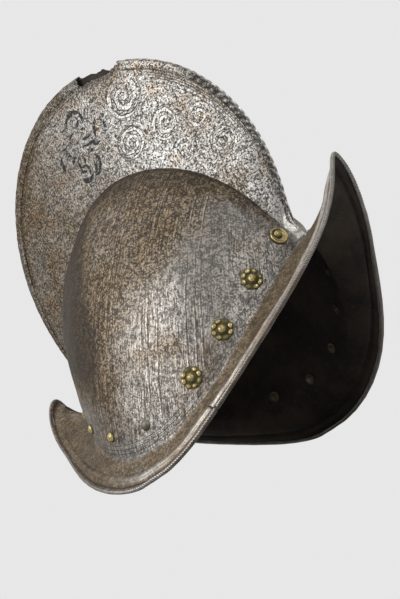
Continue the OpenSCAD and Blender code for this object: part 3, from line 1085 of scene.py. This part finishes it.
SILVER = (0.235, 0.228, 0.216)
GREY_STEEL = (0.215, 0.20, 0.182)
BROWN_STEEL = (0.158, 0.118, 0.076)
DEEP_BROWN = (0.062, 0.048, 0.034)
DARK_BROWN = (0.036, 0.029, 0.022)
PITTED = (0.026, 0.021, 0.016)
BLACK_INK_AND_SHADE = (0.014, 0.015, 0.017)
OCHRE = (0.20, 0.15, 0.10)
RUST = (0.17, 0.095, 0.050)
# The inside's colours: the steel's own dark oxide, made darker still as painted shade.
INNER_BLACK = (0.018, 0.015, 0.013)
INNER_BROWN = (0.042, 0.032, 0.024)
INNER_WORN = (0.07, 0.057, 0.046)
BRASS_BROWN = (0.105, 0.086, 0.030)
BRASS_GREEN = (0.058, 0.054, 0.021)
BRASS_DARK = (0.021, 0.021, 0.011)
BRASS_DULL = (0.28, 0.21, 0.085)
BRASS_BRIGHT = (0.54, 0.44, 0.22)
STEEL_FLOATS = ("tone", "gap", "rub", "rise", "root_gap", "station", "crest_gap")
# Etched volutes on the comb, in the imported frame: x and height of the eye, radius, and
# how fresh each is
VOLUTES = [
    (30, 279, 17, 1), (21, 244, 13, 1), (55, 241, 13, 1), (-22, 283, 12, 0.4),
    (4, 281, 12, 0.6), (82, 230, 11, 0.8), (62, 215, 10, 0.7), (92, 203, 11, 0.8),
    (-26, 250, 11, 0.35), (-56, 281, 14, 0.5), (-55, 248, 12, 0.4), (-3, 245, 11, 0.5),
    (-88, 259, 14, 0.5), (-84, 228, 13, 0.4), (-110, 224, 12, 0.4), (-116, 192, 13, 0.4),
    (103, 180, 11, 0.6),
]
VOLUTE_TURNS = 2.3
VOLUTE_LEAVES = 7
# Black strokes, each an arc that tapers to its ends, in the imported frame: x, height,
# radius, the arc's middle and half sweep in degrees, and half its width
BLACK_STROKES = [
    (-22, 284.5, 10.3, 92, 66, 2.2), (-20, 287, 7, 0, 44, 1.3), (-23.5, 287.5, 5.8, -25, 50, 1.4),
    (-16.5, 281, 2.5, -90, 60, 1.0), (9, 267, 16, 157, 32, 1.5), (-4, 270, 8.4, 0, 66, 1.2),
    (-14, 285, 20.5, -90, 22, 1.2), (-6, 268, 7, -115, 44, 1.5), (-14.5, 279, 9, -97, 40, 1.2),
    (-30, 272.5, 9.5, -160, 26, 1.7), (-36, 265, 12.4, 182, 36, 2.0), (-40, 290, 15.3, -90, 24, 0.9),
    (-25, 273, 7.8, 140, 54, 1.0), (-33, 259, 4, 130, 60, 1.5), (-15, 255, 17, 180, 22, 1.1),
    (-27, 256, 8, -117, 30, 1.3), (-31, 257, 6, 0, 50, 1.0), (-32, 247, 7.6, 15, 50, 1.2),
    (-28.5, 256, 3.6, -90, 56, 1.0), (-28, 248, 7.3, -95, 66, 2.0), (-17, 257, 3, 90, 85, 1.7),
    (-19, 249, 7.6, -5, 70, 1.4), (-21, 246, 4, -15, 75, 1.7), (-18, 247, 6.8, -75, 46, 1.3),
]
NO_INK = -9.0
# Stains of ochre on the comb: x, height and radius
STAINS = [
    (56, 268, 9), (74, 247, 6), (52, 291, 9), (84, 227, 5), (66, 281, 6), (-3, 270, 5),
    (-18, 300, 9), (-55, 256, 10), (-80, 272, 11), (50, 211, 6), (-112, 240, 12), (-36, 238, 6),
]
BAND_MARKS = (64.5, 67.4, 71.5, 86.0, 91.0, 94.0, 110.0, 113.0, 118.0, 121.0)
BAND_RIDGE = 0.85
BAND_LEAN = 0.2
BASE_MARKS = (2.2, 5.4, 8.6)
CREST_MARKS = (8.2, 10.2, 12.4, 16.0)
REAR_MARKS = (3.0, 5.2, 7.4, 9.6)


def side_view(g):
    """The comb's side laid flat, as x and height in millimetres, and the place across it."""
    x, y, z = g.apart(g.place)
    return g.together(x * (1 / MM), z * (1 / MM)), y


def shaken(g, flat, size, per_metre):
    """The same place, moved as far as size millimetres, as a hand-drawn line wanders."""
    wander = g.output("Color", "ShaderNodeTexNoise", {
        "Vector": g.place, "Scale": per_metre, "Detail": 2.0})
    shift = g.vector("SUBTRACT", wander, (0.5, 0.5, 0.5))
    return g.vector("ADD", flat, g.vector("MULTIPLY", shift, (2 * size, 2 * size, 0)))


def nearest_volute(g, flat):
    """Where a place lies from its nearest volute's eye, in radii, and how fresh that one is."""
    best_far = None
    for k, (x, z, radius, fresh) in enumerate(VOLUTES):
        hand = 1 if k % 2 else -1
        away = g.vector("SUBTRACT", flat, (x, z, 0))
        away = g.vector("MULTIPLY", away, (hand / radius, 1 / radius, 0))
        far = g.span(away)
        if best_far is None:
            best_far, best_away, best_fresh = far, away, fresh
            continue
        closer = g.math("LESS_THAN", far, best_far)
        best_away = g.mixed(closer, best_away, away)
        best_fresh = g.shared(closer, best_fresh, fresh)
        best_far = g.math("MINIMUM", far, best_far)
    return best_away, best_far, best_fresh


def scrolls(g, flat):
    """Etched volutes: a stem that winds in to a small flower, and the etcher's outlines."""
    away, far, fresh = nearest_volute(g, shaken(g, flat, 1.6, 60.0))
    turn = g.bearing(away) * (1 / (2 * math.pi))
    phase = turn + far * VOLUTE_TURNS
    wave = abs(g.math("FRACT", phase) - 0.5) * 2.0
    wave += g.math("SINE", turn * (2 * math.pi * VOLUTE_LEAVES)) * 0.1
    inside = g.step(far, 1.02, 0.98)
    stem = g.step(wave, 0.42, 0.54) * inside
    outline = g.step(abs(wave - 0.45), 0.15, 0.05) * inside
    rim = g.step(abs(far - 1.0), 0.045, 0.02)
    leaf = g.noise(80.0, 2.0, 0.5, warp=0.7)
    tendril = g.step(abs(leaf - 0.5), 0.055, 0.03)
    edge = g.step(abs(abs(leaf - 0.5) - 0.06), 0.018, 0.006)
    outside = 1.0 - inside
    figure = g.most(stem, tendril * outside)
    lines = g.most(outline, rim, edge * outside)
    return figure, lines, inside * fresh + outside * 0.35


def stains(g, flat):
    """1 in each stain, with a broken edge."""
    spread = (g.noise(110.0, 4.0, 0.65) - 0.5) * 3.2
    nearest = g.least(g.span(g.vector("SUBTRACT", flat, (x, z, 0))) * (1 / radius)
                      for x, z, radius in STAINS)
    return g.step(nearest + spread, 1.15, 0.55)


def black_scroll(g, flat, across):
    """The leaves at the comb's rear whose etched ground is still black, on the near side."""
    wandering = shaken(g, flat, 1.0, 170.0)
    deepest = NO_INK
    for x, z, radius, middle, half, width in BLACK_STROKES:
        bent = g.output("Vector", "ShaderNodeMapping", {
            "Vector": wandering, "Location": (x, z, 0),
            "Rotation": (0, 0, math.radians(middle))}, vector_type="TEXTURE")
        share = g.bearing(bent) * (1 / math.radians(half))
        deepest = g.most(deepest, (1.0 - share * share) * width - abs(g.span(bent) - radius))
    ink = g.step(deepest, -0.1, 0.35)
    pale = g.step(g.noise(420.0, 3.0, 0.6), 0.36, 0.5, 0.45, 1.0)
    return ink * pale * g.step(across, 0.0, -0.001)


def incised(g, m):
    """Lines cut beside the crest, over the base and down the skull."""
    m.on_comb = g.step(m.root_gap, -1.0, 1.0)
    m.on_skull = g.step(m.rise, -0.5, 0.5) * g.step(m.root_gap, 1.0, -1.0)
    shake = (g.noise(35.0, 1.0) - 0.5) * 1.6
    lean = m.station + m.rise * BAND_LEAN + shake
    worn = g.step(g.noise(28.0, 2.0), 0.40, 0.56, 0.15, 1.0)
    drawn = m.on_skull * g.step(m.rise, 8.0, 14.0) * worn
    bands = g.lines(lean, BAND_MARKS, 0.4) * drawn
    # A painted highlight along the ridge beside each band line.
    m.ridges = g.lines(lean - BAND_RIDGE, BAND_MARKS, 0.4) * drawn
    base = g.lines(m.rise + shake * 0.25, BASE_MARKS, 0.45)
    base *= m.on_skull * g.step(m.station, 44.0, 64.0, 0.4, 0.9)
    front = g.lines(m.crest_gap + shake * 0.3, CREST_MARKS, 0.5) * g.step(m.station, 64.0, 56.0)
    rear = g.lines(m.crest_gap + shake * 0.4, REAR_MARKS, 0.5) * g.step(m.station, 78.0, 84.0)
    m.cut = g.most(bands, base, g.most(front, rear) * m.on_comb)


def steel_maps(g):
    """What the steel's looks hang on: the mesh's floats, the ornament and the noises."""
    m = SimpleNamespace(**{name: g.value_of(name) for name in STEEL_FLOATS})
    incised(g, m)
    m.on_plate = g.most(m.on_comb, m.on_skull)
    flat, across = side_view(g)
    stem, m.outline, fresh = scrolls(g, flat)
    m.black = black_scroll(g, flat, across) * m.on_comb
    m.grain = g.noise(680.0, 3.0, 0.7)
    m.coarse = g.noise(250.0, 3.0, 0.6)
    m.fibre = abs(g.noise(300.0, 2.0, 0.6, warp=0.8) - 0.5)
    m.blotch = g.noise(42.0, 5.0, 0.62)
    m.patch = g.noise(15.0, 3.0, 0.55)
    along = g.together(m.station + m.rise * BAND_LEAN, m.rise * 0.035)
    m.streak = g.noise(0.9, 3.0, 0.65, along)
    m.hair = g.noise(2.8, 2.0, 0.6, along)
    m.stained = stains(g, flat) * m.on_comb
    m.etched = m.on_comb * g.step(m.crest_gap, 12.0, 13.5)
    m.kept = g.step(m.blotch, 0.64, 0.46, 0.35, 1.0) * fresh
    m.figure = stem * m.etched * m.kept
    m.ground = (1.0 - stem) * m.etched * m.kept
    return m


def steel_tint(g, m):
    """Grey to brown steel, with ochre stains, rust and a deeper brown."""
    brown = m.tone + (m.blotch - 0.5) * 1.3 + (m.patch - 0.5) * 1.3 - m.rub * 0.9
    deep = g.math("MULTIPLY", brown - 1.0, 1.6, clamp=True)
    m.brown = g.math("ADD", brown, 0.0, clamp=True)
    colour = g.mixed(m.brown, g.mixed(m.on_comb, GREY_STEEL, SILVER), BROWN_STEEL)
    ochre = g.most(g.step(m.patch, 0.50, 0.62) * g.step(m.blotch, 0.44, 0.6), m.stained)
    colour = g.mixed(ochre * g.shared(m.brown, 0.5, 0.25), colour, OCHRE)
    rusty = g.step(m.blotch, 0.58, 0.70) * g.step(m.coarse, 0.45, 0.6)
    colour = g.mixed(rusty * 0.45, colour, RUST)
    return g.mixed(deep, colour, DEEP_BROWN)


def steel_wear(g, m, colour):
    """Pits over the tint, and how much brighter it is where it is etched, or worn bright and painted
    with a highlight; also a painted highlight beside each cut line.
    """
    speck = m.grain - 0.5 + (m.coarse - 0.5) * g.shared(m.on_comb, 0.6, 0.3)
    shine = m.on_skull * g.step(m.brown, 0.75, 0.2)
    depth = g.shared(m.on_plate, 0.5, 0.9) * (1.0 - m.rub * 0.6)
    smooth = m.on_skull * g.step(m.station, 98.0, 114.0)
    depth *= 1.0 - g.most(shine, smooth) * 0.35
    pits = g.step(speck + m.figure * 0.045, 0.0, -0.07)
    m.dark = g.most(pits, g.step(m.fibre, 0.03, 0.01) * g.shared(m.brown, 0.3, 0.95)) * depth
    light = g.step(speck, 0.0, 0.09) * depth
    lift = 0.8 + light * g.shared(m.brown, 0.8, 1.25) + m.figure * 0.42 - m.ground * 0.16
    # Painted highlight: where the steel is worn bright it is lifted further, to nearly white where
    # that is fullest.
    lift += m.rub * 0.5 + g.step(m.rub, 0.9, 1.0, 0.0, 2.2)
    brushed = shine * g.step(m.station, 46.0, 66.0, 0.3, 1.0)
    lift += brushed * g.step(m.hair, 0.46, 0.62, -0.05, 0.7)
    # Painted highlight along the ridge beside each cut line.
    lift += m.ridges * 0.6
    # Darker towards the comb's rear, and a little towards the skull's rear.
    rear_dimming = m.on_comb * g.step(m.station, 52.0, 90.0)
    lift *= 1.0 - g.most(rear_dimming, smooth * 0.4) * 0.22
    return g.mixed(m.dark * 0.9, g.scaled(colour, lift), PITTED)


def steel_marks(g, m, colour):
    """Scratches, stripes, the etcher's lines and black strokes over the worn steel, with painted
    shade along the comb's root, in the grooves, in the crack and on the crest's rope.
    """
    m.scratch = g.step(m.hair, 0.46, 0.36)
    m.scratch *= m.on_skull * g.step(m.rise, 110.0, 55.0, 0.15, 0.7)
    colour = g.mixed(m.scratch, colour, DARK_BROWN)
    stripe = g.step(m.streak, 0.52, 0.66) * (m.on_skull * g.shared(m.brown, 0.35, 0.85))
    colour = g.mixed(stripe, colour, DARK_BROWN)
    # Painted shade: a dark line along the skull's side of the comb's root, where the crease lies.
    crease = g.step(m.root_gap, 0.6, -1.2) * g.step(m.root_gap, -5.5, -2.0)
    m.marks = g.most(m.outline * (m.etched * (m.kept * 0.85)), m.cut * 0.75, crease * 0.7)
    colour = g.mixed(m.marks, colour, DARK_BROWN)
    # Black ink of the etched ground, and painted shade in the grooves, the crack and the crest's
    # rope.
    return g.mixed(g.most(m.black, m.gap), colour, BLACK_INK_AND_SHADE)


def etched_steel():
    g = material_graph("etched_steel")
    m = steel_maps(g)
    colour = steel_marks(g, m, steel_wear(g, m, steel_tint(g, m)))
    dull = g.most(m.brown, m.dark, m.gap) * (1.0 - m.rub)
    metallic = g.shared(dull, 0.92, 0.5)
    roughness = g.shared(dull, 0.36, 0.62) + (m.coarse - 0.5) * 0.2 + m.rub * 0.02
    height = (m.grain * 0.4 + m.coarse * 0.3) * g.shared(m.on_plate, 0.35, 1.0)
    height += m.blotch * 0.5
    height += m.figure * 0.1
    height -= g.most(m.marks, m.black, m.scratch) * 0.18
    return g.finish(colour, metallic, roughness, height, 0.8, g.shared(dull, 0.5, 0.12))


def inner_steel():
    g = material_graph("inner_steel")
    grain = g.noise(420.0, 3.0, 0.6)
    blotch = g.noise(30.0, 4.0, 0.6)
    hammer = g.output("Distance", "ShaderNodeTexVoronoi", {"Vector": g.place, "Scale": 70.0})
    # Painted shade: the inside is coloured darker than its oxide, as it lies in shade.
    colour = g.mixed(g.step(blotch, 0.35, 0.68), INNER_BLACK, INNER_BROWN)
    colour = g.mixed(g.step(grain, 0.54, 0.70) * 0.5, colour, INNER_WORN)
    height = grain * 0.25 + (hammer * 0.5 + blotch * 0.6)
    return g.finish(colour, 0.3, g.step(grain, 0.3, 0.7, 0.6, 0.8), height, 0.7, 0.2)


def brass():
    g = material_graph("brass")
    high = g.value_of("high")
    grain = g.noise(900.0, 3.0, 0.6)
    blotch = g.noise(260.0, 3.0, 0.55)
    seen = g.output("AO", "ShaderNodeAmbientOcclusion", {"Distance": 0.0022}, samples=8)
    hidden = g.step(seen, 0.95, 0.5)
    # Worn bright brass on the tops of domes, beads and edges, with a painted highlight there.
    rubbed_and_highlit = g.math("MULTIPLY", g.step(high + (blotch - 0.5) * 0.8, 0.25, 0.95),
                    1.0 - hidden * 0.8, clamp=True)
    colour = g.mixed(g.step(blotch, 0.35, 0.65), BRASS_BROWN, BRASS_GREEN)
    colour = g.mixed(hidden * 0.85, colour, BRASS_DARK)
    bright = g.mixed(g.step(grain, 0.42, 0.62), BRASS_DULL, BRASS_BRIGHT)
    colour = g.mixed(rubbed_and_highlit, colour, bright)
    rough = g.shared(rubbed_and_highlit, 0.55, 0.32) + (grain - 0.5) * 0.15
    height = grain * 0.08 + blotch * 0.22
    return g.finish(colour, g.shared(rubbed_and_highlit, 0.6, 0.95), rough, height, 0.8)


def iron(name, light, dark):
    g = material_graph(name)
    grain = g.noise(800.0, 3.0, 0.6)
    blotch = g.noise(150.0, 3.0, 0.6)
    colour = g.mixed(g.step(blotch, 0.35, 0.65), light, dark)
    colour = g.mixed(g.step(grain, 0.55, 0.7) * 0.4, colour, RUST)
    height = grain * 0.12 + blotch * 0.25
    return g.finish(colour, 0.6, g.step(grain, 0.3, 0.7, 0.4, 0.62), height, 0.8)


# Stage: a pale floor that is seen from above only, and less so farther out
FLOOR_HALF = 6.0
FLOOR_FADE = (0.35, 1.05)
FLOOR_Z = -0.0004
FLOOR_COLOUR = (0.72, 0.715, 0.70)
WHITE = (1, 1, 1)
PALE = (0.80, 0.80, 0.80)
FILL = 0.42


def pale_floor():
    mesh = bpy.data.meshes.new("floor")
    corners = [(x * FLOOR_HALF, y * FLOOR_HALF, FLOOR_Z)
               for x, y in ((-1, -1), (1, -1), (1, 1), (-1, 1))]
    mesh.from_pydata(corners, [], [(0, 1, 2, 3)])
    g = material_graph("floor")
    paint = g.output(0, "ShaderNodeBsdfDiffuse", {"Color": FLOOR_COLOUR})
    clear = g.output(0, "ShaderNodeBsdfTransparent")
    below = g.output("Backfacing", "ShaderNodeNewGeometry")
    unseen = g.most(below, g.step(g.span(g.place), *FLOOR_FADE))
    both = g.output(0, "ShaderNodeMixShader", {0: unseen, 1: paint, 2: clear})
    g.node("ShaderNodeOutputMaterial", {"Surface": both})
    mesh.materials.append(g.owner)
    add_object("floor", mesh)


def pale_world():
    """A pale background to the camera and in reflections, and a weaker fill for the rest."""
    world = bpy.data.worlds.new("studio")
    bpy.context.scene.world = world
    g = Graph(world)
    seen = g.most(*[g.output(f"Is {kind} Ray", "ShaderNodeLightPath")
                    for kind in ("Camera", "Glossy", "Transmission")])
    fill = g.output(0, "ShaderNodeBackground", {"Color": WHITE, "Strength": FILL})
    pale = g.output(0, "ShaderNodeBackground", {"Color": PALE})
    both = g.output(0, "ShaderNodeMixShader", {0: seen, 1: fill, 2: pale})
    g.node("ShaderNodeOutputWorld", {"Surface": both})


# Camera at the photograph's view. It is level turned by VIEW_AZ and VIEW_EL, then
# rolled, and stands VIEW_BACK from the forging frame's origin, panned by VIEW_PAN.
VIEW_AZ = 35.47
VIEW_EL = -12.11
VIEW_ROLL = 26.54
VIEW_BACK = 1464.84
VIEW_PAN = (28.81, -91.12)
SENSOR = 36.0
LENS = 119.71


def view_axes():
    """The camera's right, up and back."""
    right = np.array([cosd(VIEW_AZ), sind(VIEW_AZ), 0])
    back = np.array([sind(VIEW_AZ) * cosd(VIEW_EL), -cosd(VIEW_AZ) * cosd(VIEW_EL), sind(VIEW_EL)])
    up = np.cross(back, right)
    return np.stack([
        cosd(VIEW_ROLL) * right - sind(VIEW_ROLL) * up,
        sind(VIEW_ROLL) * right + cosd(VIEW_ROLL) * up,
        back])


def add_camera():
    axes = view_axes()
    place = (OFFSET - axes.T @ np.array([*VIEW_PAN, -VIEW_BACK])) * MM
    data = bpy.data.cameras.new("camera")
    data.sensor_width = SENSOR
    data.sensor_fit = "AUTO"
    data.lens = LENS
    camera = add_object("camera", data)
    camera.matrix_world = Matrix.Translation(place.tolist()) @ Matrix(axes.T.tolist()).to_4x4()
    bpy.context.scene.camera = camera


# Lamps: the direction each stands in, its distance, its size and its watts
LAMP_AIM = np.array([0, 0, 0.16])
LAMPS = {
    "key": ((-0.30, -0.80, 0.50), 1.9, 1.2, 26),
    "side": ((0.86, -0.34, 0.36), 2.0, 0.5, 9),
    "top": ((0.05, 0.15, 1.0), 2.2, 1.6, 12),
}


def area_light(name, heading, distance, size, watts):
    """A square lamp that faces the helmet's middle."""
    place = LAMP_AIM + distance * unit(np.array(heading))
    data = bpy.data.lights.new(name, "AREA")
    data.shape = "SQUARE"
    data.size = size
    data.energy = watts
    back = unit(place - LAMP_AIM)
    side = unit(np.cross([0, 0, 1], back))
    turn = Matrix(np.stack([side, np.cross(back, side), back], 1).tolist()).to_4x4()
    add_object(name, data).matrix_world = Matrix.Translation(place.tolist()) @ turn


def dress_cad_node(node, material):
    """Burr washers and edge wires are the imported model's own."""
    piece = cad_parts[node]
    piece.data.materials.clear()
    piece.data.materials.append(material)


add_camera()
pale_world()
pale_floor()
for name, lamp in LAMPS.items():
    area_light(name, *lamp)

STEEL = etched_steel()
INSIDE = inner_steel()
BRASS = brass()
IRON_HEAD = iron("iron_rivet", (0.20, 0.18, 0.14), (0.10, 0.085, 0.065))
WIRE = iron("iron_wire", (0.10, 0.08, 0.065), (0.05, 0.04, 0.032))

for side in SIDES:
    half_plate(side, STEEL, INSIDE)
    edge_roll(side, STEEL)
    front_washer(side, BRASS)
    for i in range(len(RIVET_DEG[side])):
        head, slot = (IRON_HEAD, "iron_rivet") if i in IRON else (BRASS, "brass")
        rivet(side, i, head)
        dress_cad_node(f"burr_{side}_{i + 1}", WIRE)
    for i in ROSETTED:
        rosette(side, i, BRASS)
    dress_cad_node(f"{side}_edge_wire", WIRE)
crest_fold("front_crest", 0, (LAP_STOPS[0], NOSE_STOPS[0]), STEEL)
crest_fold("rear_crest", 180, (LAP_STOPS[1], NOSE_STOPS[1]), STEEL)

bpy.context.scene.view_settings.view_transform = "Standard"
